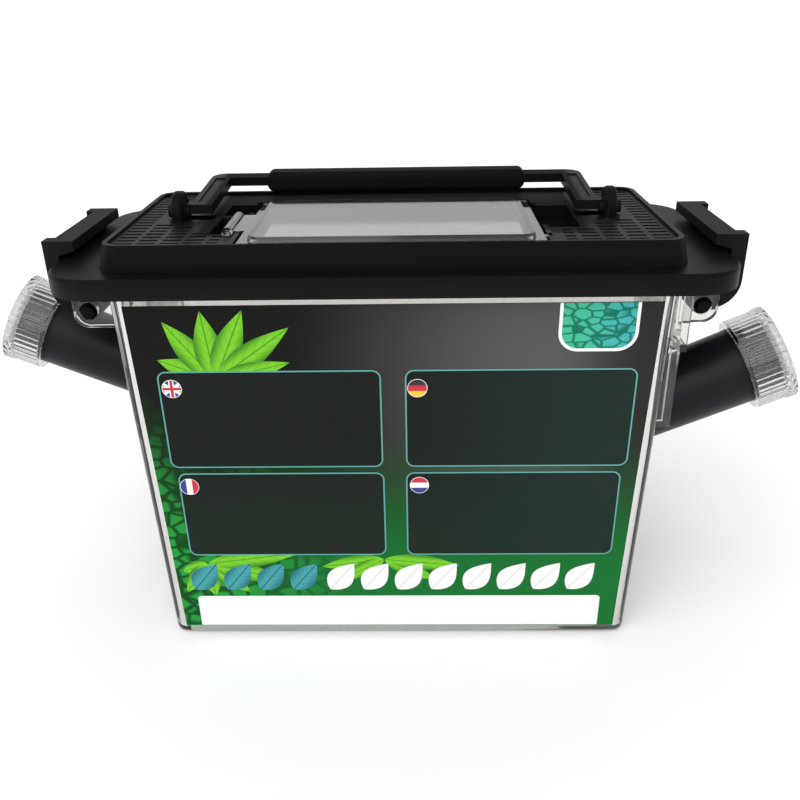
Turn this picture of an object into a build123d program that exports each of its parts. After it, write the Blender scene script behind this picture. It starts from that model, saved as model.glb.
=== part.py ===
"""Cricket keeper box: clear tank, black vented lid with a window flap, folding handle, two
side latches and two sloping feeding tubes with ribbed caps.

Millimetres. X runs along the length, the front label faces -Y and +Z is up. The origin is
the centre of the tank's base. The two ends are the same piece turned half a turn about Z,
so end pieces are drawn once for the +X end and turned for the -X end.
"""
from build123d import *
import math
import os

os.makedirs("parts", exist_ok=True)

# ---------------------------------------------------------------- driving dimensions
# tank; its outside length and depth at the rim follow from the lid that fits over it
tank_height = 121.3
tank_draft = 1.6             # degrees, all four walls
tank_wall = 2.0
tank_floor = 2.0
tank_corner = 4.0
tank_base_round = 2.4
rim_thickness = 2.0
rim_ends = 15.4              # rim beyond the end walls
rim_sides = 0.8              # rim beyond the front and rear walls
rim_clearance = 0.5          # rim edge to the inside of the lid's skirt

# lid
lid_length = 190.0
lid_depth = 83.8
lid_corner = 14.0
flange_thickness = 2.7
flange_round = 1.0
skirt_wall = 1.6
skirt_drop = 5.8             # flange top to the skirt's lower edge
groove_width = 0.9
groove_depth = 0.7
locating_rib = 1.4
locating_rib_depth = 3.0
locating_clearance = 0.4
deck_height = 7.2            # above the flange
deck_ends = 14.0             # flange left at the ends of the deck's base
deck_sides = 6.7             # flange left in front of and behind it
deck_end_inset = 2.1         # how far the deck's ends lean in
deck_side_inset = 1.2        # how far its front and back lean in
deck_corner = 5.0
deck_wall = 2.0
deck_plate = 2.8
deck_lip_width = 1.4
deck_recess = 0.8

# ventilation slots
slot_length = 5.1
slot_short = 3.0
slot_width = 1.6
slot_round = 0.35
slot_pitch = 6.4
slot_row_pitch = 3.4
slot_edge = 2.7              # outermost slot end to the deck's edge
slot_front = 4.7             # first row to the deck's front edge
slot_rows_front = (7, 6, 4)  # front rows in the next columns inwards
slot_rows_rear = 5           # rear rows in the second column
slot_rows_short = 4          # rows of short slots beside the window

# window flap and its wells
window_length = 83.4
window_depth = 48.0
window_front_lip = 0.8       # deck left standing in front of the flap
window_front_gap = 0.2
window_plate = 1.3
window_raise = 1.5           # raised panel above the plate
window_margin = 2.1          # plate left beside and behind the raised panel
window_skin = 1.3
window_corner = 3.5
window_gap = 0.15            # flap above its ledge
window_side_gap = 0.9        # flap edge to the recess around it
window_bearing = 4.6         # ledge width under the flap
hinge_offset = 5.0           # hinge axis outside the flap's left edge
hinge_radius = 1.7
hinge_front = 13.3           # hinge barrel's front end behind the flap's front edge
hinge_length = 19.0
hinge_pin_radius = 1.0
hinge_pin_length = 1.6
hinge_end_gap = 0.3
well_depth = 5.2
well_floor = 1.5
hinge_well_width = 9.4
hinge_bearing = 2.6          # bearing behind the hinge barrel
hinge_pocket = 14.0          # open pocket behind that bearing, front to back
finger_well_width = 11.0
finger_well_front = 16.8     # well's front side behind the flap's front edge
finger_well_depth = 27.0     # front to back
catch_length = 3.0
catch_reach = 1.3

# handle
pivot_height = 2.1           # pivot above the deck's recessed floor
handle_pin_radius = 1.85
handle_pin_beyond = 2.0      # pin end beyond the lug
pin_clearance = 0.07         # radial, every pin in its hole
lug_inner = 63.0             # lug's inner face from the middle
lug_thickness = 2.9
lug_radius = 6.0
lug_round = 0.7
arm_gap = 2.0                # arm to the lug
foot_gap = 0.2               # arm's foot to the lug
foot_pin = 1.2               # pin's root inside the foot
dip_gap = 0.3                # arm to the pocket its end turns in
arm_width = 6.4
arm_thickness = 2.8
arm_above_pivot = 2.2
arm_front = 1.0              # arm's end in front of the pivot
arm_slope = 4.0              # degrees, folded back
handle_reach = 34.6          # pivot to the far edge
crossbar_width = 5.5
handle_corner = 4.5
grip_length = 85.6
grip_depth = 8.6
grip_height = 6.6
grip_drop = 3.2              # grip's lower face below the pivot, unsloped
grip_overhang = 2.8
grip_round = 2.4
arm_panel_depth = 0.4

# side latches
clip_length = 41.2
clip_pivot_x = 88.4
clip_pivot_z = 109.2
clip_barrel = 3.0
clip_pin_radius = 2.6
clip_pin_short = 0.6         # thick part of the pin ends inside the ear by this much
clip_tip_radius = 1.8
clip_tip_beyond = 1.0        # thin tip beyond the ear
clip_wall_gap = 0.6          # latch wall to the lid's end
clip_rib_wall = 4.2
clip_web_wall = 1.7
clip_rib_length = 4.3
clip_curl_height = 6.3       # centre of the lower curl above the pivot
clip_curl_back = 4.2         # centre of the lower curl inside the latch wall
hook_length = 4.7            # hook's tip inside the latch wall
hook_play = 0.8              # hook above the lid's flange at its root
hook_slope = 1.3
hook_thickness = 2.9
ear_thickness = 3.2
ear_gap = 0.4
ear_reach = 4.6              # ear's outer edge beyond the pivot
ear_drop = 5.1               # ear's lower edge below the pivot
ear_round = 4.0
ear_edge_round = 0.5

# feeding tubes
tube_slope = 23.7            # degrees, rising outwards
tube_offset = 13.0           # tubes pass side by side, either side of the middle
port_height = 72.8           # where the tube's axis meets the wall
port_clearance = 0.3
tube_radius = 11.8           # at the shoulder
tube_taper = 0.012           # radius lost for each millimetre inwards
tube_wall = 1.5
tube_length = 150.0
tube_outside = 33.5          # shoulder to the wall when pushed home
tube_left_drawn = 10.5       # the left tube stands drawn out by this much
neck_radius = 10.6
neck_length = 8.0
neck_wall = 1.2

# tube caps
cap_radius = 13.8
cap_length = 11.9
cap_overlap = 1.2            # skirt reaches back over the tube's shoulder
cap_seat_gap = 0.3           # sleeve's end to the shoulder
cap_skirt = 1.3
cap_end = 1.6
cap_sleeve = 1.2
cap_fit = 0.05
cap_rib_count = 48
cap_rib_radius = 0.75        # round ribs
cap_rib_height = 0.4
cap_rib_start = 1.0          # plain band at the open end
cap_ring = 2.6               # scalloped ring at the closed end
cap_scallop_count = 36
cap_scallop_radius = 1.5
cap_scallop_height = 0.8

# port frames and gates
frame_half_width = 15.0
frame_bottom = 72.0
frame_sill = 1.5
rail_edge = 1.4
rail_lip = 1.7
rail_face = 82.4
gate_slot_x = 78.5
gate_slot = 1.9
gate_thickness = 1.6
gate_side_gap = 0.25
gate_tube_gap = 0.3          # raised gate above the tube
gate_stop = 1.2              # track's blind end below the rim
gate_top_gap = 2.4           # raised gate below its stop
housing_bottom = 96.5
bezel = 1.9
bezel_proud = 1.9
ridge_length = 10.0
ridge_height = 1.5
ridge_proud = 1.2

# label
label_bottom = 3.6
label_top = 115.8
label_side_gap = 0.2         # label edge to the start of the corner round
label_thickness = 0.2

# bowls
bowl_radius = 16.5
bowl_base_radius = 14.0
bowl_height = 13.0
bowl_wall = 1.6
bowl_place = 54.0            # bowl centre from the middle
bowl_lip = 0.8
grid_gap = 0.4
grid_thickness = 1.4
grid_below_lip = 2.0
grid_hole_radius = 1.3
grid_hole_pitch = 4.6
grid_post_radius = 1.6

# ---------------------------------------------------------------- derived places
flange_top = tank_height + flange_thickness
skirt_bottom = flange_top - skirt_drop
deck_top = flange_top + deck_height
deck_floor = deck_top - deck_recess
deck_under = deck_top - deck_plate
deck_base_length = lid_length - 2 * deck_ends
deck_base_depth = lid_depth - 2 * deck_sides
deck_length = deck_base_length - 2 * deck_end_inset
deck_depth = deck_base_depth - 2 * deck_side_inset
deck_front = -deck_depth / 2
slot_rows_full = int((deck_depth - 2 * slot_front) / slot_row_pitch) + 1
rim_under = tank_height - rim_thickness
tank_length = lid_length - 2 * (skirt_wall + rim_clearance + rim_ends)
tank_depth = lid_depth - 2 * (skirt_wall + rim_clearance + rim_sides)
wall_lean = math.tan(math.radians(tank_draft))
base_length = tank_length - 2 * tank_height * wall_lean
base_depth = tank_depth - 2 * tank_height * wall_lean
lid_end = lid_length / 2
clip_wall_x = lid_end + clip_wall_gap
slope = math.radians(tube_slope)
port_x = base_length / 2 + port_height * wall_lean
tube_axis = Vector(math.cos(slope), 0, math.sin(slope))
port_radius = tube_radius - tube_taper * tube_outside + port_clearance


def block(x, y, z):
    """Box between two values on each axis."""
    size = (x[1] - x[0], y[1] - y[0], z[1] - z[0])
    middle = ((x[0] + x[1]) / 2, (y[0] + y[1]) / 2, (z[0] + z[1]) / 2)
    return Pos(*middle) * Box(*size)


def slab(length, depth, corner, low, high):
    """Upright slab with round corners, centred on Z."""
    return extrude(Pos(0, 0, low) * RectangleRounded(length, depth, corner), high - low)


def leaning(low_size, low, high_size, high, corner):
    """Solid between two round-cornered rectangles at two heights."""
    outlines = [
        Pos(0, 0, low) * RectangleRounded(*low_size, corner),
        Pos(0, 0, high) * RectangleRounded(*high_size, corner),
    ]
    return loft([outline.face() for outline in outlines])


def half_turn(shape):
    """The same piece at the other end of the box."""
    return Rot(0, 0, 180) * shape


def along_tube(distance):
    """Place on the +X tube's axis, a distance outside the wall, facing outwards."""
    origin = Vector(port_x, -tube_offset, port_height) + tube_axis * distance
    return Plane(origin=origin, x_dir=(0, 1, 0), z_dir=tube_axis)


def tube_radius_at(distance):
    """Outside radius of a tube pushed home, at a distance outside the wall."""
    return tube_radius - tube_taper * (tube_outside - distance)


def save(shape, name, colour):
    """Write one node as a STEP file."""
    shape.label = name
    shape.color = Color(*colour)
    export_step(shape, f"parts/{name}.step")
    print(name, round(shape.volume, 1))


# ---------------------------------------------------------------- tank
def tank_space(inset, low, high):
    """Solid of the tank's outside less an inset, between two heights."""
    def size_at(height):
        grow = 2 * (height * wall_lean - inset)
        return base_length + grow, base_depth + grow
    corner = tank_corner - inset / 2
    return leaning(size_at(low), low, size_at(high), high, corner)


def ear(side):
    """Ear that holds one latch pin, on the +X end; side is -1 at the front."""
    near = side * (clip_length / 2 + ear_gap)
    far = near + side * ear_thickness
    outer = clip_pivot_x + ear_reach
    bottom = clip_pivot_z - ear_drop
    plate = block((port_x - tank_wall, outer), sorted((near, far)), (bottom, rim_under))
    lower_edge = plate.edges().filter_by(Axis.Y).sort_by(Axis.Z)[:2].sort_by(Axis.X)[-1]
    plate = fillet(lower_edge, ear_round)
    outline = plate.faces().sort_by(Axis.Y)[0].edges() + plate.faces().sort_by(Axis.Y)[-1].edges()
    free_edges = [edge for edge in outline
                  if edge.center().Z < rim_under and edge.center().X > port_x]
    plate = fillet(free_edges, ear_edge_round)
    hole = Cylinder(clip_pin_radius + pin_clearance, clip_length * 2, rotation=(90, 0, 0))
    return plate - Pos(clip_pivot_x, 0, clip_pivot_z) * hole


def port_frame():
    """Rails, sill and housing of the +X gate, standing proud of the end wall."""
    side = (-tube_offset - frame_half_width, -tube_offset + frame_half_width)
    inner = frame_half_width - rail_edge
    mouth = inner - rail_lip
    from_wall = port_x - tank_wall
    frame = block((from_wall, rail_face), side, (frame_bottom, rim_under))
    between = (-tube_offset - mouth, -tube_offset + mouth)
    frame -= block((from_wall, rail_face + bezel_proud), between, (0, housing_bottom))
    track = (-tube_offset - inner, -tube_offset + inner)
    sill_top = frame_bottom + frame_sill
    frame -= block((gate_slot_x, gate_slot_x + gate_slot), track,
                   (sill_top, rim_under - gate_stop))
    border = block((rail_face, rail_face + bezel_proud), side, (housing_bottom, rim_under))
    opening = (side[0] + bezel, side[1] - bezel)
    border -= block((rail_face, rail_face + bezel_proud), opening,
                    (housing_bottom + bezel, rim_under))
    return frame + border


def tank():
    body = tank_space(0, 0, tank_height)
    base_edges = body.faces().sort_by(Axis.Z)[0].edges()
    body = fillet(base_edges, tank_base_round)
    hollow = tank_space(tank_wall, tank_floor, tank_height)
    inside_skirt = 2 * (skirt_wall + rim_clearance)
    rim = slab(lid_length - inside_skirt, lid_depth - inside_skirt,
               lid_corner - skirt_wall - rim_clearance, rim_under, tank_height)
    end = port_frame() + ear(-1) + ear(1)
    # gate pocket stays clear where the front ear crosses the housing
    inner = frame_half_width - rail_edge
    pocket_y = (-tube_offset - inner, -tube_offset + inner)
    end -= block((gate_slot_x, gate_slot_x + gate_slot), pocket_y,
                 (frame_bottom + frame_sill, rim_under - gate_stop))
    body = body + rim + end + half_turn(end)
    body -= hollow
    port = along_tube(0) * Cylinder(port_radius, 2 * port_radius + 4 * tank_wall)
    port = port & block((0, gate_slot_x), (-tank_depth, tank_depth), (0, tank_height))
    return body - port - half_turn(port)


# ---------------------------------------------------------------- lid
def grille():
    """Ventilation slots on the +X side, as cutting solids through the deck."""
    first_x = deck_length / 2 - slot_edge - slot_length / 2
    first_y = deck_front + slot_front
    last_y = first_y + (slot_rows_full - 1) * slot_row_pitch
    places = [(0, first_y + row * slot_row_pitch) for row in range(slot_rows_full)]
    for column, rows in enumerate(slot_rows_front, start=1):
        places += [(column, first_y + row * slot_row_pitch) for row in range(rows)]
    places += [(1, last_y - row * slot_row_pitch) for row in range(slot_rows_rear)]
    slots = [Pos(first_x - column * slot_pitch, y)
             * RectangleRounded(slot_length, slot_width, slot_round)
             for column, y in places]
    short_x = first_x - 4 * slot_pitch + (slot_length - slot_short) / 2
    slots += [Pos(short_x, first_y + row * slot_row_pitch)
              * RectangleRounded(slot_short, slot_width, slot_round)
              for row in range(slot_rows_short)]
    return extrude(Pos(0, 0, deck_under - 1) * Sketch(slots), deck_plate + 2)


def window_place():
    """Flap's X and Y spans; its front edge lies just behind the deck's."""
    front = deck_front + window_front_lip + window_front_gap
    return (-window_length / 2, window_length / 2), (front, front + window_depth)


def hinge_place():
    """Hinge axis (X, Z) and the barrel's Y span."""
    (left, _), (front, _) = window_place()
    ledge = deck_top - window_plate - window_gap
    axis_z = ledge + window_gap + window_plate / 2
    start = front + hinge_front
    return left - hinge_offset, axis_z, (start, start + hinge_length)


def lug():
    """Handle lug on the +X side, with its pin hole."""
    centre_z = deck_floor + pivot_height
    width = (lug_inner, lug_inner + lug_thickness)
    plate = Pos(width[0], 0, centre_z) * Rot(0, 90, 0) * Cylinder(
        lug_radius, lug_thickness, align=(Align.CENTER, Align.CENTER, Align.MIN))
    plate += block(width, (-lug_radius, lug_radius), (deck_floor - deck_recess, centre_z))
    plate -= block(width, (-lug_radius, lug_radius), (tank_height, deck_under))
    upper_edges = [edge for edge in plate.edges().filter_by(GeomType.CIRCLE)
                   if edge.center().Z > centre_z]
    plate = fillet(upper_edges, lug_round)
    hole = Rot(0, 90, 0) * Cylinder(handle_pin_radius + pin_clearance, lid_length)
    return plate - Pos(0, 0, centre_z) * hole


def lid():
    flange = slab(lid_length, lid_depth, lid_corner, skirt_bottom, flange_top)
    flange = fillet(flange.faces().sort_by(Axis.Z)[-1].edges(), flange_round)
    flange -= slab(lid_length - 2 * skirt_wall, lid_depth - 2 * skirt_wall,
                   lid_corner - skirt_wall, skirt_bottom, tank_height)
    moat = slab(deck_base_length + 2 * groove_width, deck_base_depth + 2 * groove_width,
                deck_corner + groove_width, flange_top - groove_depth, flange_top)
    straight = deck_base_length / 2 - deck_corner
    moat &= block((-straight, straight), (-lid_depth, lid_depth), (0, flange_top))
    deck = leaning((deck_base_length, deck_base_depth), tank_height,
                   (deck_length, deck_depth), deck_top, deck_corner)
    hollow = leaning((deck_base_length - 2 * deck_wall, deck_base_depth - 2 * deck_wall),
                     tank_height,
                     (deck_length - 2 * deck_wall, deck_depth - 2 * deck_wall),
                     deck_under, deck_corner - deck_wall)
    body = flange - moat + deck - hollow

    rib_gap = tank_wall + locating_clearance
    rib_low = tank_height - locating_rib_depth
    rib = (tank_space(rib_gap, rib_low, tank_height)
           - tank_space(rib_gap + locating_rib, rib_low, tank_height))
    seat = slab(deck_base_length, deck_base_depth, deck_corner, tank_height, flange_top)
    seat -= tank_space(rib_gap + locating_rib, rib_low, tank_height + deck_height)
    body += rib + seat

    (left, right), (front, back) = window_place()
    axis_x, axis_z, (barrel_front, barrel_back) = hinge_place()
    ledge = deck_top - window_plate - window_gap
    recess_left = left - window_side_gap
    recess_right = right + window_side_gap
    hinge_well = ((recess_left - hinge_well_width, recess_left + deck_wall),
                  (barrel_front - hinge_end_gap, barrel_back + hinge_end_gap))
    pocket_front = barrel_back + hinge_end_gap + hinge_bearing
    pocket = (hinge_well[0], (pocket_front, pocket_front + hinge_pocket))
    finger_front = front + finger_well_front
    finger_well = ((recess_right - deck_wall, recess_right + finger_well_width),
                   (finger_front, finger_front + finger_well_depth))
    well_bottom = deck_top - well_depth
    wells = (hinge_well, pocket, finger_well)
    for x, y in wells:
        tray = block((x[0] - well_floor, x[1] + well_floor),
                     (y[0] - well_floor, y[1] + well_floor),
                     (well_bottom - well_floor, deck_under))
        body += tray & block((-lid_length, lid_length), (-lid_depth, lid_depth),
                             (0, deck_under))

    # recessed floor around the slots, inside a thin raised lip
    lip_length = deck_length - 2 * deck_lip_width
    lip_depth = deck_depth - 2 * deck_lip_width
    sunk = slab(lip_length, lip_depth, deck_corner - deck_lip_width, deck_floor, deck_top)
    pad_side = recess_right + deck_lip_width
    pad_back = back + window_side_gap + deck_lip_width
    sunk -= block((-pad_side, pad_side), (-deck_depth, pad_back), (deck_floor, deck_top))
    body -= sunk

    # flap recess and the window in its floor
    body -= block((recess_left, recess_right),
                  (front - window_front_gap, back + window_side_gap), (ledge, deck_top + 1))
    body -= block((left + window_bearing, right - window_bearing),
                  (front + window_bearing, back - window_bearing),
                  (tank_height, deck_top))
    for x, y in wells:
        body -= block(x, y, (well_bottom, deck_top + 1))
    pin_hole = Rot(90, 0, 0) * Cylinder(hinge_pin_radius + pin_clearance,
                                        hinge_length + 2 * hinge_pin_length
                                        + 2 * hinge_end_gap)
    body -= Pos(axis_x, (barrel_front + barrel_back) / 2, axis_z) * pin_hole
    catch_y = (front + window_bearing, front + window_bearing + catch_length)
    body -= block((recess_right, recess_right + catch_reach), catch_y, (ledge, deck_top + 1))

    slots = grille()
    body -= slots
    body -= mirror(slots, Plane.YZ)

    # pocket that the turning arm ends dip into
    arm_outer = lug_inner - arm_gap
    dip = block((arm_outer - arm_width - dip_gap, lug_inner),
                (-arm_front - deck_wall, arm_front + deck_wall),
                (deck_floor - deck_recess, deck_top))
    body -= dip
    body -= mirror(dip, Plane.YZ)
    lug_right = lug()
    return body + lug_right + mirror(lug_right, Plane.YZ)


# ---------------------------------------------------------------- window flap
def window_flap():
    (left, right), (front, back) = window_place()
    axis_x, axis_z, (barrel_front, barrel_back) = hinge_place()
    low = deck_top - window_plate
    centre = (0, (front + back - window_margin) / 2)
    plate = block((left, right), (front, back), (low, deck_top))
    panel_size = (window_length - 2 * window_margin, window_depth - window_margin)
    panel = leaning(panel_size, low,
                    (panel_size[0] - window_raise, panel_size[1] - window_raise),
                    deck_top + window_raise, window_corner)
    cavity_size = [side - 2 * window_skin for side in panel_size]
    cavity = leaning(cavity_size, low,
                     [side - window_raise for side in cavity_size],
                     deck_top + window_raise - window_skin, window_corner - window_skin)
    flap = plate + Pos(*centre) * panel - Pos(*centre) * cavity
    flap += block((axis_x, left), (barrel_front, barrel_back), (low, deck_top))
    barrel_middle = Pos(axis_x, (barrel_front + barrel_back) / 2, axis_z)
    barrel = Cylinder(hinge_radius, hinge_length) + Cylinder(
        hinge_pin_radius, hinge_length + 2 * hinge_pin_length)
    flap += barrel_middle * Rot(90, 0, 0) * barrel
    catch_y = front + window_bearing + catch_length / 2
    catch = Box(catch_reach, catch_length - window_side_gap, window_plate / 2)
    return flap + Pos(right + catch_reach / 2, catch_y, low + window_plate / 2) * catch


# ---------------------------------------------------------------- handle
def handle():
    outer = lug_inner - arm_gap
    low = arm_above_pivot - arm_thickness
    depth = handle_reach + arm_front
    middle = (handle_reach - arm_front) / 2
    outline = Pos(0, middle) * Rectangle(2 * outer, depth)
    outline -= Pos(0, middle - crossbar_width) * Rectangle(2 * (outer - arm_width), depth)
    bail = extrude(Pos(0, 0, low) * outline, arm_thickness)
    corners = bail.edges().filter_by(Axis.Z).group_by(Axis.Y)[-1]
    bail = fillet(corners, handle_corner)

    panel_x = outer - arm_width / 2
    panel = block((panel_x - arm_width / 4, panel_x + arm_width / 4),
                  (arm_front + 1, handle_reach - crossbar_width),
                  (arm_above_pivot - arm_panel_depth, arm_above_pivot))
    bail -= panel
    bail -= mirror(panel, Plane.YZ)

    grip_middle = handle_reach + grip_overhang - grip_depth / 2
    grip = Pos(0, grip_middle, grip_height / 2 - grip_drop) * Box(
        grip_length, grip_depth, grip_height)
    grip = fillet(grip.edges(), grip_round)
    bail += grip

    foot_end = lug_inner - foot_gap
    foot = block((outer - arm_width, foot_end),
                 (-arm_front, arm_above_pivot), (low, arm_above_pivot))
    pin_start = foot_end - foot_pin
    pin_end = lug_inner + lug_thickness + handle_pin_beyond
    pin = Pos(pin_start, 0, 0) * Rot(0, 90, 0) * Cylinder(
        handle_pin_radius, pin_end - pin_start,
        align=(Align.CENTER, Align.CENTER, Align.MIN))
    side = foot + pin
    bail = bail + side + mirror(side, Plane.YZ)
    return Pos(0, 0, deck_floor + pivot_height) * Rot(arm_slope, 0, 0) * bail


# ---------------------------------------------------------------- side latch
def clip_profile(wall):
    """Side view of the latch with a wall thickness: hook, wall, lower curl and barrel."""
    outer = clip_wall_x + wall
    root_z = flange_top + hook_play
    tip_z = root_z + hook_slope
    top_z = tip_z + hook_thickness
    tip_x = clip_wall_x - hook_length
    curl_x = clip_wall_x - clip_curl_back
    curl_z = clip_pivot_z + clip_curl_height
    hook = make_face(Polyline((tip_x, top_z), (outer, top_z), (outer, root_z),
                              (clip_wall_x, root_z), (tip_x, tip_z), close=True))
    upright = Pos((clip_wall_x + outer) / 2, (curl_z + root_z) / 2) * Rectangle(
        wall, root_z - curl_z)
    ring = Circle(clip_curl_back + wall) - Circle(clip_curl_back)
    quarter = Pos(lid_end / 2, -lid_end / 2) * Rectangle(lid_end, lid_end)
    curl = Pos(curl_x, curl_z) * (ring & quarter)
    web_top = curl_z - clip_curl_back
    web = Pos((clip_pivot_x + curl_x) / 2, web_top - wall / 2) * Rectangle(
        curl_x - clip_pivot_x, wall)
    barrel = Pos(clip_pivot_x, clip_pivot_z) * Circle(clip_barrel)
    return hook + upright + curl + web + barrel


def clip():
    """Latch of the +X end."""
    body = extrude(Plane.XZ * clip_profile(clip_web_wall), clip_length / 2, both=True)
    rib = extrude(Plane.XZ * clip_profile(clip_rib_wall), clip_rib_length / 2, both=True)
    rib_y = (clip_length - clip_rib_length) / 2
    body += Pos(0, rib_y, 0) * rib
    body += Pos(0, -rib_y, 0) * rib
    ears = clip_length + 2 * (ear_gap + ear_thickness)
    pin = Cylinder(clip_pin_radius, ears - 2 * clip_pin_short)
    pin += Cylinder(clip_tip_radius, ears + 2 * clip_tip_beyond)
    return body + Pos(clip_pivot_x, 0, clip_pivot_z) * Rot(90, 0, 0) * pin


# ---------------------------------------------------------------- feeding tube and cap
def tube():
    """+X tube pushed home: tapered body, shoulder and narrow neck."""
    inner_end = tube_outside - tube_length
    shoulder_plane = along_tube(tube_outside)
    inner_plane = along_tube(inner_end)
    outer_body = loft([(inner_plane * Circle(tube_radius_at(inner_end))).face(),
                       (shoulder_plane * Circle(tube_radius)).face()])
    bore_end = along_tube(tube_outside - tube_wall)
    bore = loft([(inner_plane * Circle(tube_radius_at(inner_end) - tube_wall)).face(),
                 (bore_end * Circle(tube_radius - tube_wall)).face()])
    neck = extrude(shoulder_plane * Circle(neck_radius), neck_length)
    neck_bore = extrude(bore_end * Circle(neck_radius - neck_wall), neck_length + tube_wall)
    return outer_body + neck - bore - neck_bore


def cap():
    """+X cap: ribbed skirt, closed end and a sleeve that slides over the tube's neck."""
    skirt_inner = cap_radius - cap_skirt
    sleeve_inner = neck_radius + cap_fit
    sleeve_start = cap_overlap + cap_seat_gap
    hollow_length = cap_length - cap_end
    body = Cylinder(cap_radius, cap_length, align=(Align.CENTER, Align.CENTER, Align.MIN))
    cavity = Cylinder(skirt_inner, hollow_length,
                      align=(Align.CENTER, Align.CENTER, Align.MIN))
    sleeve = (Cylinder(sleeve_inner + cap_sleeve, hollow_length - sleeve_start,
                       align=(Align.CENTER, Align.CENTER, Align.MIN))
              - Cylinder(sleeve_inner, hollow_length - sleeve_start,
                         align=(Align.CENTER, Align.CENTER, Align.MIN)))
    cavity -= Pos(0, 0, sleeve_start) * sleeve
    rib_centre = cap_radius + cap_rib_height - cap_rib_radius
    rib = Cylinder(cap_rib_radius, cap_length - cap_ring - cap_rib_start,
                   align=(Align.CENTER, Align.CENTER, Align.MIN))
    ribs = [Rot(0, 0, turn * 360 / cap_rib_count) * Pos(rib_centre, 0, cap_rib_start) * rib
            for turn in range(cap_rib_count)]
    scallop_centre = cap_radius + cap_scallop_height - cap_scallop_radius
    scallops = [Rot(0, 0, turn * 360 / cap_scallop_count) * Pos(scallop_centre, 0)
                * Circle(cap_scallop_radius) for turn in range(cap_scallop_count)]
    ring = extrude(Circle(scallop_centre) + scallops, cap_ring)
    body = body + ribs + Pos(0, 0, cap_length - cap_ring) * ring
    return along_tube(tube_outside - cap_overlap) * (body - cavity)


# ---------------------------------------------------------------- port gate
def gate():
    """+X gate, raised: straight sides in the rails and a round lower end above the tube."""
    half_width = frame_half_width - rail_edge - gate_side_gap
    round_radius = frame_half_width - rail_edge - rail_lip
    middle_x = gate_slot_x + gate_slot / 2
    reach = (middle_x - port_x) / math.cos(slope)
    tube_top = (port_height + (middle_x + gate_slot - port_x) * math.tan(slope)
                + tube_radius_at(reach) / math.cos(slope))
    shoulder = tube_top + gate_tube_gap + round_radius
    top = rim_under - gate_stop - gate_top_gap
    outline = Pos(-tube_offset, (shoulder + top) / 2) * Rectangle(
        2 * half_width, top - shoulder)
    outline += Pos(-tube_offset, shoulder) * Circle(round_radius)
    plate = extrude(Plane.YZ * outline, gate_thickness)
    plate = Pos(middle_x - gate_thickness / 2, 0, 0) * plate
    ridge_low = tube_top + gate_tube_gap + ridge_height / 2
    ridge = block((middle_x, middle_x + gate_thickness / 2 + ridge_proud),
                  (-tube_offset - ridge_length / 2, -tube_offset + ridge_length / 2),
                  (ridge_low, ridge_low + ridge_height))
    return plate + ridge


# ---------------------------------------------------------------- label
def label():
    """Thin printed sheet on the flat of the leaning front wall."""
    def half_width(height):
        return base_length / 2 + height * wall_lean - tank_corner - label_side_gap

    lean = math.radians(tank_draft)
    front = Plane(origin=(0, -base_depth / 2, 0), x_dir=(1, 0, 0),
                  z_dir=(0, -math.cos(lean), -math.sin(lean)))
    low = label_bottom / math.cos(lean)
    high = label_top / math.cos(lean)
    outline = make_face(Polyline((-half_width(label_bottom), low),
                                 (half_width(label_bottom), low),
                                 (half_width(label_top), high),
                                 (-half_width(label_top), high), close=True))
    return extrude(front * outline, label_thickness)


# ---------------------------------------------------------------- bowls
def bowl():
    """Low round dish with a lip, standing on the tank's floor."""
    outside = loft([Pos(0, 0, 0) * Circle(bowl_base_radius).face(),
                    Pos(0, 0, bowl_height) * Circle(bowl_radius - bowl_lip).face()])
    lip = Pos(0, 0, bowl_height - bowl_wall) * Cylinder(
        bowl_radius, bowl_wall, align=(Align.CENTER, Align.CENTER, Align.MIN))
    inside = loft([Pos(0, 0, bowl_wall) * Circle(bowl_base_radius - bowl_wall).face(),
                   Pos(0, 0, bowl_height) * Circle(bowl_radius - bowl_lip - bowl_wall).face()])
    return Pos(0, 0, tank_floor) * (outside + lip - inside)


def bowl_grid():
    """Perforated disc on a short post that keeps insects out of the water."""
    radius = bowl_base_radius - bowl_wall - grid_gap
    top = bowl_height - grid_below_lip
    disc = Cylinder(radius, grid_thickness, align=(Align.CENTER, Align.CENTER, Align.MAX))
    holes = []
    for ring in (1, 2):
        count = 6 * ring
        for turn in range(count):
            holes.append(Rot(0, 0, turn * 360 / count) * Pos(ring * grid_hole_pitch, 0, 0)
                         * Cylinder(grid_hole_radius, 4 * grid_thickness))
    disc -= holes
    post = Cylinder(grid_post_radius, top - bowl_wall,
                    align=(Align.CENTER, Align.CENTER, Align.MAX))
    return Pos(0, 0, tank_floor + top) * (disc + post)


# ---------------------------------------------------------------- nodes
clear = (0.85, 0.90, 0.92, 0.35)
black = (0.05, 0.05, 0.05, 1.0)
tube_black = (0.08, 0.09, 0.10, 1.0)
print_green = (0.05, 0.22, 0.10, 1.0)

save(tank(), "tank", clear)
save(label(), "front_label", print_green)
save(lid(), "lid", black)
save(window_flap(), "window_flap", clear)
save(handle(), "handle", black)

right_clip = clip()
save(right_clip, "clip_right", black)
save(half_turn(right_clip), "clip_left", black)

right_gate = gate()
save(right_gate, "port_gate_right", clear)
save(half_turn(right_gate), "port_gate_left", clear)

drawn = Pos(*(tube_axis * tube_left_drawn))
right_tube = tube()
save(right_tube, "tube_right", tube_black)
save(half_turn(drawn * right_tube), "tube_left", tube_black)
right_cap = cap()
save(right_cap, "tube_cap_right", clear)
save(half_turn(drawn * right_cap), "tube_cap_left", clear)

save(Pos(bowl_place, 0, 0) * bowl(), "feeding_bowl", black)
save(Pos(-bowl_place, 0, 0) * bowl(), "water_bowl", black)
save(Pos(-bowl_place, 0, 0) * bowl_grid(), "water_bowl_grid", black)
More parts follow.
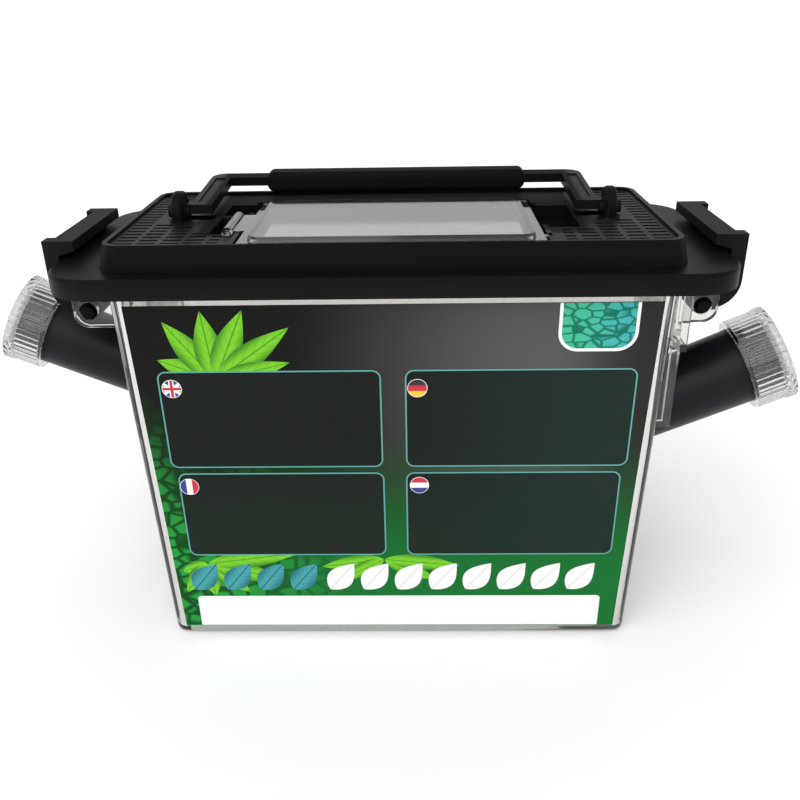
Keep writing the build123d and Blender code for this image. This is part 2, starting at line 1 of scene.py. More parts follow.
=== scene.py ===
"""Cricket keeper box: finishes, printed label, floor, light and camera, in metres."""
import math

import bmesh
import bpy
from mathutils import Matrix, Vector


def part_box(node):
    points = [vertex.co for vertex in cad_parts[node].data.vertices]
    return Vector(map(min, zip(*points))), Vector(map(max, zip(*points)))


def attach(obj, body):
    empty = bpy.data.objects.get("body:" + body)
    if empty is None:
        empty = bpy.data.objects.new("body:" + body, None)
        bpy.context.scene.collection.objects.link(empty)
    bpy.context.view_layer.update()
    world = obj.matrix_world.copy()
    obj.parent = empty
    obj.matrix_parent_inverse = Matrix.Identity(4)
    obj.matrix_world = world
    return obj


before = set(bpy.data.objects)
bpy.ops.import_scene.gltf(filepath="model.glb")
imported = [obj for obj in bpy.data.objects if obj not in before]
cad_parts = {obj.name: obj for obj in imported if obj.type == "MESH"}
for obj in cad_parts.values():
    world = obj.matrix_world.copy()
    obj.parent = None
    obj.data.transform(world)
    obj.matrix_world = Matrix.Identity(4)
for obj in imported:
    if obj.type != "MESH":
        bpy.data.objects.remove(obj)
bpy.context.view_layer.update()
MM = 0.001

# ---------------------------------------------------------------- label layout, millimetres
label_lean = 1.6             # degrees that the front wall leans out
border_width = 0.45
panel_corner = 2.6
panels = (                   # left, right, low, high
    (-66.6, -3.4, 64.6, 96.3),
    (3.3, 68.3, 64.6, 96.3),
    (-65.1, -3.2, 32.3, 62.7),
    (3.2, 66.9, 32.3, 62.7),
)
roundel_radius = 2.7
roundel_rim = 0.18
roundel_places = ((-62.8, 90.9), (6.8, 90.6), (-62.0, 58.0), (7.2, 58.2))
strip = (-64.8, 64.8, 3.9, 16.0)
tufts = (                    # root, then (angle, length, width) of each leaf
    ((-50.0, 93.5), ((158, 17, 7.0), (126, 22, 7.5), (96, 21, 8.0), (66, 23, 8.0),
                     (36, 27, 7.5), (14, 22, 6.0))),
    ((-60.0, 29.0), ((200, 9, 5.0), (235, 14, 6.0), (275, 13, 6.5), (318, 17, 6.5),
                     (345, 24, 7.5), (8, 30, 7.0))),
    ((-4.0, 30.5), ((188, 20, 6.0), (210, 17, 5.5), (334, 18, 5.5), (354, 24, 6.0))),
)
band_height = 23.8           # middle of the row of leaves under the panels
band_leaf = (13.0, 8.2)      # length, width
band_tilt = 52.0             # degrees
teal_band = (-65.2, 4, 10.6)  # first leaf, count, step
white_band = (-21.6, 8, 10.8)
badge = (45.3, 67.0, 101.5, 115.7)
badge_corner = 5.5
badge_border = 0.9

# ---------------------------------------------------------------- colour zones, metres
glow_centre = (0.044, -0.039, 0.095)
glow_reach = 0.078
dim_beyond_glow = (0.044, 0.070)     # X where the upper right gets darker, and is darkest
green_to_charcoal = (0.022, 0.080)   # Z where the green starts to fade, and is gone
left_rise = (-0.076, -0.055)         # X between which the green's upper edge comes down
left_rise_height = 0.018
scale_patch_centre = (-0.080, -0.039, 0.035)
scale_patch_fade = (0.020, 0.075)    # distance where the scales start to fade, and are gone
# zone_edge also softens the edge of the painted shade zones further down
zone_edge = 0.001                    # softness of the step between two kinds of shine


# ---------------------------------------------------------------- shader helpers
def socket_value(node, name, value):
    node.inputs[name].default_value = value


def new_material(name):
    """Empty material with its output and one Principled shader."""
    material = bpy.data.materials.new(name)
    material.use_nodes = True
    tree = material.node_tree
    tree.nodes.clear()
    output = tree.nodes.new("ShaderNodeOutputMaterial")
    shader = tree.nodes.new("ShaderNodeBsdfPrincipled")
    tree.links.new(shader.outputs["BSDF"], output.inputs["Surface"])
    return material, tree, shader


def moulding_group():
    """Slight unevenness of moulded plastic: colour shade, roughness and normal."""
    group = bpy.data.node_groups.new("moulded_surface", "ShaderNodeTree")
    face = group.interface
    for name, kind, value in (("Colour", "NodeSocketColor", (0.5, 0.5, 0.5, 1.0)),
                              ("Wear colour", "NodeSocketColor", (0.6, 0.6, 0.6, 1.0)),
                              ("Wear", "NodeSocketFloat", 0.2),
                              ("Roughness", "NodeSocketFloat", 0.4),
                              ("Roughness spread", "NodeSocketFloat", 0.1),
                              ("Grain size", "NodeSocketFloat", 900.0),
                              ("Grain depth", "NodeSocketFloat", 0.1)):
        face.new_socket(name, in_out="INPUT", socket_type=kind).default_value = value
    face.new_socket("Colour", in_out="OUTPUT", socket_type="NodeSocketColor")
    face.new_socket("Roughness", in_out="OUTPUT", socket_type="NodeSocketFloat")
    face.new_socket("Normal", in_out="OUTPUT", socket_type="NodeSocketVector")
    nodes, link = group.nodes, group.links.new
    inside = nodes.new("NodeGroupInput").outputs
    outside = nodes.new("NodeGroupOutput").inputs
    place = nodes.new("ShaderNodeTexCoord").outputs["Object"]

    broad = nodes.new("ShaderNodeTexNoise")
    socket_value(broad, "Scale", 35.0)
    socket_value(broad, "Detail", 4.0)
    link(place, broad.inputs["Vector"])
    grain = nodes.new("ShaderNodeTexNoise")
    socket_value(grain, "Detail", 2.0)
    link(place, grain.inputs["Vector"])
    link(inside["Grain size"], grain.inputs["Scale"])

    edge = nodes.new("ShaderNodeNewGeometry").outputs["Pointiness"]
    worn = nodes.new("ShaderNodeMapRange")
    socket_value(worn, "From Min", 0.52)
    socket_value(worn, "From Max", 0.62)
    link(edge, worn.inputs["Value"])
    patchy = nodes.new("ShaderNodeMath")
    patchy.operation = "MULTIPLY"
    link(worn.outputs["Result"], patchy.inputs[0])
    link(broad.outputs["Fac"], patchy.inputs[1])
    amount = nodes.new("ShaderNodeMath")
    amount.operation = "MULTIPLY"
    link(patchy.outputs["Value"], amount.inputs[0])
    link(inside["Wear"], amount.inputs[1])
    tint = nodes.new("ShaderNodeMix")
    tint.data_type = "RGBA"
    link(amount.outputs["Value"], tint.inputs["Factor"])
    link(inside["Colour"], tint.inputs["A"])
    link(inside["Wear colour"], tint.inputs["B"])
    link(tint.outputs["Result"], outside["Colour"])

    centred = nodes.new("ShaderNodeMath")
    centred.operation = "SUBTRACT"
    link(broad.outputs["Fac"], centred.inputs[0])
    centred.inputs[1].default_value = 0.5
    spread = nodes.new("ShaderNodeMath")
    spread.operation = "MULTIPLY_ADD"
    link(centred.outputs["Value"], spread.inputs[0])
    link(inside["Roughness spread"], spread.inputs[1])
    link(inside["Roughness"], spread.inputs[2])
    link(spread.outputs["Value"], outside["Roughness"])

    bump = nodes.new("ShaderNodeBump")
    socket_value(bump, "Distance", 0.0002)
    link(inside["Grain depth"], bump.inputs["Strength"])
    link(grain.outputs["Fac"], bump.inputs["Height"])
    link(bump.outputs["Normal"], outside["Normal"])
    return group


moulding = moulding_group()


def plastic(name, colour, wear_colour, specular, surface):
    """Material and shader of a moulded plastic; surface holds the group's other values."""
    material, tree, shader = new_material(name)
    finish = tree.nodes.new("ShaderNodeGroup")
    finish.node_tree = moulding
    socket_value(finish, "Colour", (*colour, 1.0))
    socket_value(finish, "Wear colour", (*wear_colour, 1.0))
    for socket, value in surface.items():
        socket_value(finish, socket.replace("_", " ").capitalize(), value)
    tree.links.new(finish.outputs["Colour"], shader.inputs["Base Color"])
    tree.links.new(finish.outputs["Roughness"], shader.inputs["Roughness"])
    tree.links.new(finish.outputs["Normal"], shader.inputs["Normal"])
    socket_value(shader, "Specular IOR Level", specular)
    return material, shader


def moulded(name, colour, wear_colour, specular=0.5, **surface):
    """Opaque moulded plastic."""
    return plastic(name, colour, wear_colour, specular, surface)[0]


def clear(name, colour, roughness, milk=0.0, specular=0.5, grain_depth=0.02):
    """See-through moulded plastic with a slightly wavy surface; milk is its cloudy share."""
    surface = {"wear": 0.0, "roughness": roughness, "roughness_spread": roughness * 0.6,
               "grain_size": 120.0, "grain_depth": grain_depth}
    material, shader = plastic(name, colour, (1.0, 1.0, 1.0), specular, surface)
    socket_value(shader, "Transmission Weight", 1.0 - milk)
    socket_value(shader, "IOR", 1.49)
    return material


# ---------------------------------------------------------------- finishes
lid_plastic = moulded("lid_black_plastic", (0.0050, 0.0054, 0.0049), (0.05, 0.05, 0.048),
                      wear=0.3, roughness=0.38, roughness_spread=0.12,
                      grain_size=1400.0, grain_depth=0.18)
black_plastic = moulded("satin_black_plastic", (0.0050, 0.0054, 0.0049), (0.05, 0.05, 0.048),
                        specular=0.06, wear=0.3, roughness=0.38, roughness_spread=0.12,
                        grain_size=1400.0, grain_depth=0.18)
latch_plastic = moulded("latch_black_plastic", (0.0062, 0.0064, 0.0060), (0.04, 0.04, 0.038),
                        specular=0.012, wear=0.3, roughness=0.40, roughness_spread=0.12,
                        grain_size=1400.0, grain_depth=0.14)
handle_plastic = moulded("smooth_black_plastic", (0.0068, 0.0080, 0.0078), (0.04, 0.04, 0.04),
                         wear=0.25, roughness=0.33, roughness_spread=0.1,
                         grain_size=1100.0, grain_depth=0.08)
tube_plastic = moulded("black_tube_plastic", (0.0050, 0.0058, 0.0070), (0.04, 0.043, 0.047),
                       specular=0.16, wear=0.2, roughness=0.36, roughness_spread=0.1,
                       grain_size=900.0, grain_depth=0.06)
tank_plastic = clear("clear_tank_plastic", (0.74, 0.735, 0.715), 0.04)
window_plastic = clear("clear_window_plastic", (0.42, 0.42, 0.415), 0.05, milk=0.02,
                       specular=0.06, grain_depth=0.04)
cap_plastic = clear("clear_cap_plastic", (0.75, 0.755, 0.735), 0.03, grain_depth=0.0)
gate_plastic = clear("clear_gate_plastic", (0.80, 0.80, 0.785), 0.06)


def painted_shade_zone(material, half_width, front, inner, outer):
    """Painted shade: set a material's shine by place in the piece, inner or outer specular
    level; the lower inner level stands in for shade and missing reflections there.

    The inner zone reaches half_width to either side of X = 0 and starts behind Y = front.
    """
    nodes, link = material.node_tree.nodes, material.node_tree.links.new
    split = nodes.new("ShaderNodeSeparateXYZ")
    link(nodes.new("ShaderNodeTexCoord").outputs["Object"], split.inputs["Vector"])
    aside = nodes.new("ShaderNodeMath")
    aside.operation = "ABSOLUTE"
    link(split.outputs["X"], aside.inputs[0])
    outside = nodes.new("ShaderNodeMapRange")
    socket_value(outside, "From Min", half_width - zone_edge)
    socket_value(outside, "From Max", half_width + zone_edge)
    link(aside.outputs["Value"], outside.inputs["Value"])
    before = nodes.new("ShaderNodeMapRange")
    socket_value(before, "From Min", front)
    socket_value(before, "From Max", front - zone_edge)
    link(split.outputs["Y"], before.inputs["Value"])
    either = nodes.new("ShaderNodeMath")
    either.operation = "MAXIMUM"
    link(outside.outputs["Result"], either.inputs[0])
    link(before.outputs["Result"], either.inputs[1])
    shine = nodes.new("ShaderNodeMapRange")
    socket_value(shine, "To Min", inner)
    socket_value(shine, "To Max", outer)
    link(either.outputs["Value"], shine.inputs["Value"])
    link(shine.outputs["Result"], nodes["Principled BSDF"].inputs["Specular IOR Level"])


# Painted shade: the grip between the arms reflects less than the arms, standing in for how
# light falls on it.
painted_shade_zone(handle_plastic, half_width=0.0570, front=-0.050, inner=0.003, outer=0.030)
# Painted shade: the middle of the lid, behind its front and between the handle's arms,
# reflects less than its ends, standing in for shade there.
painted_shade_zone(lid_plastic, half_width=0.0560, front=-0.022, inner=0.004, outer=0.036)

finishes = {
    "tank": tank_plastic,
    "lid": lid_plastic,
    "window_flap": window_plastic,
    "handle": handle_plastic,
    "clip_left": latch_plastic,
    "clip_right": latch_plastic,
    "port_gate_left": gate_plastic,
    "port_gate_right": gate_plastic,
    "tube_left": tube_plastic,
    "tube_right": tube_plastic,
    "tube_cap_left": cap_plastic,
    "tube_cap_right": cap_plastic,
    "water_bowl": black_plastic,
    "water_bowl_grid": black_plastic,
    "feeding_bowl": black_plastic,
}


def paint(node, material):
    """Put one material on a CAD node."""
    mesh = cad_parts[node].data
    mesh.materials.clear()
    mesh.materials.append(material)


for node, material in finishes.items():
    paint(node, material)


# ---------------------------------------------------------------- label
def label_point(x, z, proud):
    """Point on the leaning label, a little proud of it; millimetres in, metres out."""
    low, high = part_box("front_label")
    lean = math.radians(label_lean)
    top = Vector((0.0, low[1], high[2]))
    along = Vector((0.0, -math.sin(lean), math.cos(lean)))
    outward = Vector((0.0, -math.cos(lean), -math.sin(lean)))
    drop = (z * MM - high[2]) / math.cos(lean)
    return top + along * drop + outward * (proud * MM) + Vector((x * MM, 0.0, 0.0))


def printed(name, outline, proud, material, layout=None, thickness=0.04):
    """Thin printed patch on the label, from an outline that runs anticlockwise.

    layout holds a UV pair for each outline point, where the ink needs one.
    """
    mesh = bmesh.new()
    front = [mesh.verts.new(label_point(x, z, proud + thickness)) for x, z in outline]
    back = [mesh.verts.new(label_point(x, z, proud)) for x, z in outline]
    mesh.faces.new(front)
    mesh.faces.new(back[::-1])
    count = len(outline)
    for i in range(count):
        j = (i + 1) % count
        mesh.faces.new((front[i], back[i], back[j], front[j]))
    if layout:
        pairs = dict(zip(front + back, list(layout) * 2))
        layer = mesh.loops.layers.uv.new("layout")
        for face in mesh.faces:
            for corner in face.loops:
                corner[layer].uv = pairs[corner.vert]
    bmesh.ops.triangulate(mesh, faces=mesh.faces[:])
    bmesh.ops.recalc_face_normals(mesh, faces=mesh.faces[:])
    data = bpy.data.meshes.new(name)
    mesh.to_mesh(data)
    mesh.free()
    data.materials.append(material)
    piece = bpy.data.objects.new(name, data)
    bpy.context.collection.objects.link(piece)
    return piece


def on_label(piece):
    """Hand a finished print to the tank that carries the label."""
    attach(piece, "tank")


def leaf(name, root, angle, length, width, proud, material, steps=14):
    """Leaf pointing at an angle in degrees from +X, with UV along and across it."""
    turn = math.radians(angle)
    across = [width / 2 * math.sin(math.pi * (i / steps) ** 0.8) for i in range(steps + 1)]
    lower = [(length * i / steps, -across[i]) for i in range(steps)]
    upper = [(length * i / steps, across[i]) for i in range(steps, 0, -1)]
    points = lower + upper
    outline = [(root[0] + u * math.cos(turn) - v * math.sin(turn),
                root[1] + u * math.sin(turn) + v * math.cos(turn)) for u, v in points]
    layout = [(u / length, 0.5 + v / width) for u, v in points]
    return printed(name, outline, proud, material, layout)


def disc_slice(centre, radius, low, high, angle, steps=10):
    """Part of a disc between two chords, counted from its centre across an angle."""
    turn = math.radians(angle)

    def arc(start, end):
        return [start + (end - start) * i / steps for i in range(steps + 1)]
    right = arc(math.asin(low / radius), math.asin(high / radius))
    left = arc(math.pi - math.asin(high / radius), math.pi - math.asin(low / radius))
    return [(centre[0] + radius * math.cos(a + turn), centre[1] + radius * math.sin(a + turn))
            for a in right + left]


def rounded(left, right, low, high, radii, steps=8):
    """Rectangle outline with a corner radius for each corner, from the lower left."""
    corners = ((left, low, 180), (right, low, 270), (right, high, 0), (left, high, 90))
    points = []
    for (x, z, start), radius in zip(corners, radii):
        if radius == 0:
            points.append((x, z))
            continue
        centre_x = x + radius if x == left else x - radius
        centre_z = z + radius if z == low else z - radius
        for step in range(steps + 1):
            angle = math.radians(start + 90 * step / steps)
            points.append((centre_x + radius * math.cos(angle),
                           centre_z + radius * math.sin(angle)))
    return points


def flat_ink(name, colour):
    """Plain printed colour with the film's faint unevenness."""
    return moulded(name, colour, colour, wear=0.0, roughness=0.28,
                   roughness_spread=0.06, grain_size=300.0, grain_depth=0.02)


class Inks:
    """Small shader-node helpers around one material's node tree."""

    def __init__(self, name, roughness, specular):
        self.material, tree, self.shader = new_material(name)
        self.nodes = tree.nodes
        self.link = tree.links.new
        socket_value(self.shader, "Roughness", roughness)
        socket_value(self.shader, "Specular IOR Level", specular)
        self.coords = self.nodes.new("ShaderNodeTexCoord").outputs

    def number(self, kind, first, second=None):
        """Math node between two sockets or numbers."""
        node = self.nodes.new("ShaderNodeMath")
        node.operation = kind
        for socket, value in zip(node.inputs, (first, second)):
            if value is None:
                continue
            if isinstance(value, (int, float)):
                socket.default_value = value
            else:
                self.link(value, socket)
        return node.outputs["Value"]

    def ranged(self, source, low, high, first=0.0, last=1.0):
        """A value between two others, stretched to the range first to last."""
        node = self.nodes.new("ShaderNodeMapRange")
        node.interpolation_type = "SMOOTHSTEP"
        socket_value(node, "From Min", low)
        socket_value(node, "From Max", high)
        socket_value(node, "To Min", first)
        socket_value(node, "To Max", last)
        self.link(source, node.inputs["Value"])
        return node.outputs["Result"]

    def mixed(self, factor, first, second):
        """Blend of two colours, each a socket or three numbers."""
        node = self.nodes.new("ShaderNodeMix")
        node.data_type = "RGBA"
        self.link(factor, node.inputs["Factor"])
        for socket, value in (("A", first), ("B", second)):
            if isinstance(value, tuple):
                node.inputs[socket].default_value = (*value, 1.0)
            else:
                self.link(value, node.inputs[socket])
        return node.outputs["Result"]

    def scales(self, scale, low, high, stretch):
        """1 inside irregular scales, 0 on the lines between them."""
        scaled = self.nodes.new("ShaderNodeVectorMath")
        scaled.operation = "MULTIPLY"
        self.link(self.coords["Object"], scaled.inputs[0])
        scaled.inputs[1].default_value = stretch
        node = self.nodes.new("ShaderNodeTexVoronoi")
        node.feature = "DISTANCE_TO_EDGE"
        socket_value(node, "Scale", scale)
        socket_value(node, "Randomness", 0.7)
        self.link(scaled.outputs["Vector"], node.inputs["Vector"])
        return self.ranged(node.outputs["Distance"], low, high)

    def distance_from(self, centre, stretch):
        """Stretched distance from a point."""
        offset = self.nodes.new("ShaderNodeVectorMath")
        offset.operation = "SUBTRACT"
        self.link(self.coords["Object"], offset.inputs[0])
        offset.inputs[1].default_value = centre
        scaled = self.nodes.new("ShaderNodeVectorMath")
        scaled.operation = "MULTIPLY"
        self.link(offset.outputs["Vector"], scaled.inputs[0])
        scaled.inputs[1].default_value = stretch
        length = self.nodes.new("ShaderNodeVectorMath")
        length.operation = "LENGTH"
        self.link(scaled.outputs["Vector"], length.inputs[0])
        return length.outputs["Value"]

    def done(self, colour):
        """Connect the colour and return the material."""
        self.link(colour, self.shader.inputs["Base Color"])
        return self.material


def background_ink():
    """Front and back of the label's film.

    The front is charcoal that turns green below, higher up at the left edge, with scales at
    the lower left and a pale glow at the upper right. The back is white.
    """
    ink = Inks("label_background_ink", 0.25, 0.06)
    split = ink.nodes.new("ShaderNodeSeparateXYZ")
    ink.link(ink.coords["Object"], split.inputs["Vector"])
    facing = ink.nodes.new("ShaderNodeSeparateXYZ")
    ink.link(ink.coords["Normal"], facing.inputs["Vector"])
    glow = ink.ranged(ink.distance_from(glow_centre, (1.0, 0.0, 0.95)), 0.0, glow_reach)
    upper = ink.mixed(glow, (0.083, 0.083, 0.080), (0.0082, 0.0084, 0.0075))
    beyond = ink.ranged(split.outputs["X"], *dim_beyond_glow, 0.0, 0.85)
    upper = ink.mixed(beyond, upper, (0.016, 0.016, 0.015))
    lower = (0.0080, 0.138, 0.0265)
    scaled = ink.mixed(ink.scales(190.0, 0.03, 0.20, (1.0, 0.0, 1.3)),
                       (0.004, 0.050, 0.010), (0.021, 0.300, 0.045))
    patch = ink.ranged(ink.distance_from(scale_patch_centre, (1.0, 0.0, 0.9)),
                       *scale_patch_fade, 0.85, 0.0)
    lower = ink.mixed(patch, lower, scaled)
    height = ink.number("SUBTRACT", split.outputs["Z"],
                        ink.ranged(split.outputs["X"], *left_rise, left_rise_height, 0.0))
    front = ink.mixed(ink.ranged(height, *green_to_charcoal), lower, upper)
    back = ink.ranged(facing.outputs["Y"], 0.3, 0.6)
    return ink.done(ink.mixed(back, front, (0.80, 0.80, 0.78)))


def panel_ink():
    """Near-black film that lets a little of the green through low down."""
    ink = Inks("panel_ink", 0.25, 0.06)
    split = ink.nodes.new("ShaderNodeSeparateXYZ")
    ink.link(ink.coords["Object"], split.inputs["Vector"])
    height = ink.ranged(split.outputs["Z"], 0.035, 0.075)
    left = ink.mixed(height, (0.0120, 0.0200, 0.0140), (0.0105, 0.0130, 0.0110))
    right = ink.mixed(height, (0.0120, 0.0250, 0.0190), (0.0135, 0.0240, 0.0200))
    return ink.done(ink.mixed(ink.ranged(split.outputs["X"], -0.005, 0.060), left, right))


def scale_ink():
    """Teal scales for the badge, greener to the left."""
    ink = Inks("badge_scale_ink", 0.3, 0.06)
    split = ink.nodes.new("ShaderNodeSeparateXYZ")
    ink.link(ink.coords["Object"], split.inputs["Vector"])
    inside = ink.mixed(ink.ranged(split.outputs["X"], 0.048, 0.066),
                       (0.058, 0.430, 0.250), (0.055, 0.370, 0.400))
    cells = ink.scales(420.0, 0.02, 0.14, (0.62, 0.0, 1.0))
    return ink.done(ink.mixed(cells, (0.010, 0.150, 0.095), inside))


def leaf_ink(name, rim, middle, vein):
    """Leaf with a midrib and side veins, drawn from its own UV."""
    ink = Inks(name, 0.28, 0.25)
    split = ink.nodes.new("ShaderNodeSeparateXYZ")
    ink.link(ink.coords["UV"], split.inputs["Vector"])
    along = split.outputs["X"]
    aside = ink.number("ABSOLUTE", ink.number("SUBTRACT", split.outputs["Y"], 0.5))
    blade = ink.mixed(ink.ranged(aside, 0.10, 0.50), middle, rim)
    ribs = ink.number("SUBTRACT", ink.number("MULTIPLY", along, 7.0),
                      ink.number("MULTIPLY", aside, 3.4))
    side_vein = ink.number("ABSOLUTE", ink.number("SUBTRACT",
                                                  ink.number("FRACT", ribs), 0.5))
    blade = ink.mixed(ink.ranged(side_vein, 0.0, 0.09, 0.55, 0.0), blade, vein)
    return ink.done(ink.mixed(ink.ranged(aside, 0.012, 0.035, 0.9, 0.0), blade, vein))


def line_repeater():
    """Geometry nodes that repeat an object's mesh along a line."""
    group = bpy.data.node_groups.new("repeat_along_line", "GeometryNodeTree")
    face = group.interface
    for name, kind in (("Piece", "NodeSocketGeometry"), ("Count", "NodeSocketInt"),
                       ("Step", "NodeSocketVector"), ("Material", "NodeSocketMaterial")):
        face.new_socket(name, in_out="INPUT", socket_type=kind)
    face.new_socket("Row", in_out="OUTPUT", socket_type="NodeSocketGeometry")
    nodes, link = group.nodes, group.links.new
    inside = nodes.new("NodeGroupInput").outputs
    outside = nodes.new("NodeGroupOutput").inputs
    line = nodes.new("GeometryNodeMeshLine")
    line.mode = "OFFSET"
    link(inside["Count"], line.inputs["Count"])
    link(inside["Step"], line.inputs["Offset"])
    place = nodes.new("GeometryNodeInstanceOnPoints")
    link(line.outputs["Mesh"], place.inputs["Points"])
    link(inside["Piece"], place.inputs["Instance"])
    real = nodes.new("GeometryNodeRealizeInstances")
    link(place.outputs["Instances"], real.inputs["Geometry"])
    paint_all = nodes.new("GeometryNodeSetMaterial")
    link(real.outputs["Geometry"], paint_all.inputs["Geometry"])
    link(inside["Material"], paint_all.inputs["Material"])
    link(paint_all.outputs["Geometry"], outside["Row"])
    return group


def repeat(piece, group, count, step, material):
    """Turn one print into a row of them, as one plain mesh."""
    modifier = piece.modifiers.new("row", "NODES")
    modifier.node_group = group
    sockets = {item.name: item.identifier for item in group.interface.items_tree
               if item.item_type == "SOCKET" and item.in_out == "INPUT"}
    modifier[sockets["Count"]] = count
    modifier[sockets["Step"]] = step
    modifier[sockets["Material"]] = material
    evaluated = piece.evaluated_get(bpy.context.evaluated_depsgraph_get())
    row = bpy.data.meshes.new_from_object(evaluated)
    piece.modifiers.remove(modifier)
    piece.data = row


def leaves():
    """Green tufts behind the panels and a teal and white row below them."""
    tuft_ink = leaf_ink("leaf_green_ink", (0.030, 0.200, 0.006), (0.160, 0.520, 0.012),
                        (0.040, 0.230, 0.010))
    for number, (root, blades) in enumerate(tufts, start=1):
        for order, (angle, length, width) in enumerate(blades):
            name = f"label_leaf_{number}_{order + 1}"
            on_label(leaf(name, root, angle, length, width, 0.02 + 0.004 * order, tuft_ink))

    rows = line_repeater()
    teal = leaf_ink("leaf_teal_ink", (0.010, 0.150, 0.180), (0.045, 0.300, 0.330),
                    (0.008, 0.090, 0.110))
    white = leaf_ink("leaf_white_ink", (0.80, 0.80, 0.80), (0.80, 0.80, 0.80),
                     (0.55, 0.60, 0.56))
    for name, (first, count, step), ink in (("label_teal_leaves", teal_band, teal),
                                            ("label_white_leaves", white_band, white)):
        tilt = math.radians(band_tilt)
        root = (first, band_height - band_leaf[0] / 2 * math.sin(tilt))
        row = leaf(name, root, band_tilt, *band_leaf, 0.05, ink)
        repeat(row, rows, count, (step * MM, 0.0, 0.0), ink)
        on_label(row)


def roundels():
    """Striped and crossed discs at the panels' upper left corners."""
    white = flat_ink("roundel_white_ink", (0.78, 0.78, 0.78))
    red = flat_ink("roundel_red_ink", (0.52, 0.012, 0.022))
    blue = flat_ink("roundel_blue_ink", (0.010, 0.030, 0.210))
    dark = flat_ink("roundel_black_ink", (0.010, 0.010, 0.010))
    gold = flat_ink("roundel_gold_ink", (0.85, 0.50, 0.010))
    edge = roundel_radius
    third = edge / 3
    designs = (
        ((blue, -edge, edge, 0), (white, -0.45, 0.45, 35), (white, -0.45, 0.45, -35),
         (white, -0.75, 0.75, 0), (white, -0.75, 0.75, 90), (red, -0.4, 0.4, 0),
         (red, -0.4, 0.4, 90)),
        ((dark, third, edge, 0), (red, -third, third, 0), (gold, -edge, -third, 0)),
        ((red, -edge, -third, 90), (white, -third, third, 90), (blue, third, edge, 90)),
        ((red, third, edge, 0), (white, -third, third, 0), (blue, -edge, -third, 0)),
    )
    for number, (place, design) in enumerate(zip(roundel_places, designs), start=1):
        rim = disc_slice(place, edge + roundel_rim, -edge - roundel_rim,
                         edge + roundel_rim, 0)
        on_label(printed(f"label_roundel_{number}_rim", rim, 0.12, white))
        for order, (ink, low, high, angle) in enumerate(design, start=1):
            outline = disc_slice(place, edge, low, high, angle)
            on_label(printed(f"label_roundel_{number}_{order}", outline,
                             0.13 + 0.004 * order, ink))


def plain_prints():
    """Panels, white strip and badge."""
    fill = panel_ink()
    border = flat_ink("panel_border_ink", (0.085, 0.300, 0.290))
    white = flat_ink("white_ink", (0.80, 0.82, 0.82))
    for number, (left, right, low, high) in enumerate(panels, start=1):
        outline = rounded(left, right, low, high, (panel_corner,) * 4)
        on_label(printed(f"label_panel_border_{number}", outline, 0.06, border))
        inner = rounded(left + border_width, right - border_width, low + border_width,
                        high - border_width, (panel_corner - border_width,) * 4)
        on_label(printed(f"label_panel_{number}", inner, 0.08, fill))
    on_label(printed("label_white_strip", rounded(*strip, (0.3, 0.3, 1.2, 1.2)), 0.06, white))
    left, right, low, high = badge
    corner = badge_corner
    on_label(printed("label_badge_border", rounded(*badge, (corner, corner, 0, 0)), 0.06,
                     white))
    corner -= badge_border
    inner = rounded(left + badge_border, right - badge_border, low + badge_border, high,
                    (corner, corner, 0, 0))
    on_label(printed("label_badge", inner, 0.08, scale_ink()))


paint("front_label", background_ink())
plain_prints()
leaves()
roundels()


# ---------------------------------------------------------------- floor, light and camera
def floor():
    mesh = bpy.data.meshes.new("floor")
    half = 40.0
    mesh.from_pydata([(-half, -half, 0.0), (half, -half, 0.0), (half, half, 0.0),
                      (-half, half, 0.0)], [], [(0, 1, 2, 3)])
    material, tree, shader = new_material("pale_floor")
    socket_value(shader, "Base Color", (0.96, 0.96, 0.96, 1.0))
    socket_value(shader, "Roughness", 0.9)
    socket_value(shader, "Specular IOR Level", 0.0)
    mesh.materials.append(material)
    piece = bpy.data.objects.new("floor", mesh)
    bpy.context.collection.objects.link(piece)


def soft_sun():
    """Broad light from the front and above, a little to the left."""
    light = bpy.data.lights.new("soft_sun", "SUN")
    light.energy = 1.6
    light.angle = math.radians(70.0)
    lamp = bpy.data.objects.new("soft_sun", light)
    lamp.rotation_euler = Vector((-0.35, -0.90, 1.0)).to_track_quat("Z", "Y").to_euler()
    bpy.context.collection.objects.link(lamp)


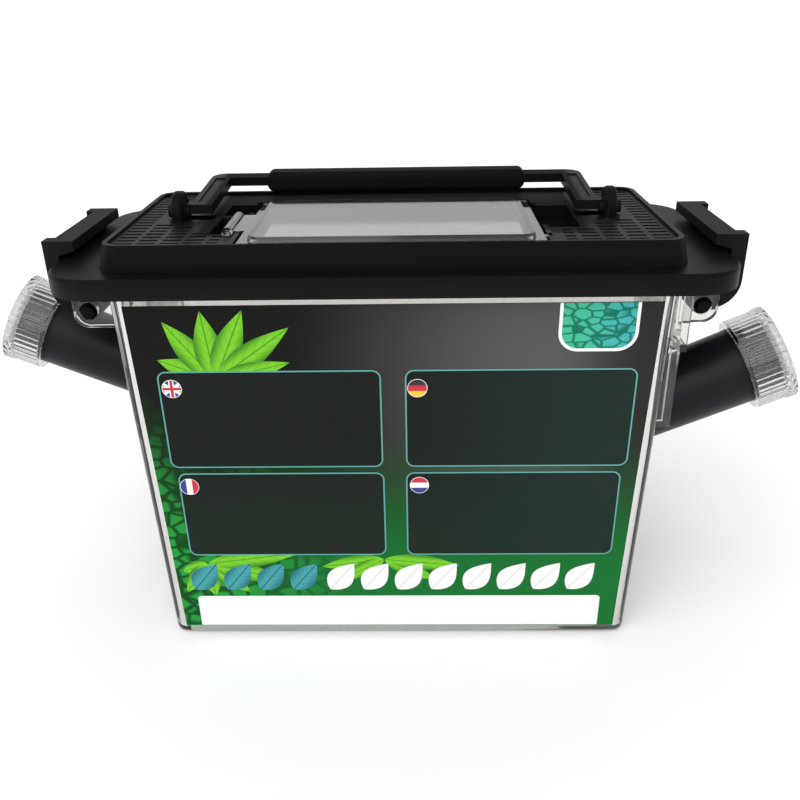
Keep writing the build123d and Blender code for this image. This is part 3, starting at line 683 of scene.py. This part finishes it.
def studio_world():
    """White surroundings, dimmer overhead and brighter to the left."""
    world = bpy.data.worlds.new("studio")
    world.use_nodes = True
    nodes, link = world.node_tree.nodes, world.node_tree.links.new
    split = nodes.new("ShaderNodeSeparateXYZ")
    link(nodes.new("ShaderNodeTexCoord").outputs["Generated"], split.inputs["Vector"])
    upward = nodes.new("ShaderNodeMapRange")
    socket_value(upward, "To Min", 1.0)
    socket_value(upward, "To Max", 0.70)
    link(split.outputs["Z"], upward.inputs["Value"])
    sideways = nodes.new("ShaderNodeMapRange")
    socket_value(sideways, "From Min", -1.0)
    socket_value(sideways, "To Min", 1.12)
    socket_value(sideways, "To Max", 0.92)
    link(split.outputs["X"], sideways.inputs["Value"])
    strength = nodes.new("ShaderNodeMath")
    strength.operation = "MULTIPLY"
    link(upward.outputs["Result"], strength.inputs[0])
    link(sideways.outputs["Result"], strength.inputs[1])
    link(strength.outputs["Value"], nodes["Background"].inputs["Strength"])
    nodes["Background"].inputs["Color"].default_value = (1.0, 1.0, 1.0, 1.0)
    bpy.context.scene.world = world


def camera():
    """Looks down on the front of the box from close by."""
    place = Vector((7.0, -255.9, 191.4)) * MM
    pitch = 0.4478
    yaw = -0.0237
    roll = -0.0174
    forward = Vector((math.sin(yaw) * math.cos(pitch), math.cos(yaw) * math.cos(pitch),
                      -math.sin(pitch)))
    level = Vector((math.cos(yaw), -math.sin(yaw), 0.0))
    upright = level.cross(forward)
    right = level * math.cos(roll) + upright * math.sin(roll)
    up = upright * math.cos(roll) - level * math.sin(roll)
    turn = Matrix((right, up, -forward)).transposed().to_4x4()
    lens = bpy.data.cameras.new("camera")
    lens.sensor_width = 36.0
    lens.lens = 38.25
    lens.clip_start = 0.01
    lens.clip_end = 200.0
    eye = bpy.data.objects.new("camera", lens)
    eye.matrix_world = Matrix.Translation(place) @ turn
    bpy.context.collection.objects.link(eye)
    bpy.context.scene.camera = eye


floor()
soft_sun()
studio_world()
bpy.context.scene.view_settings.view_transform = "Standard"
camera()
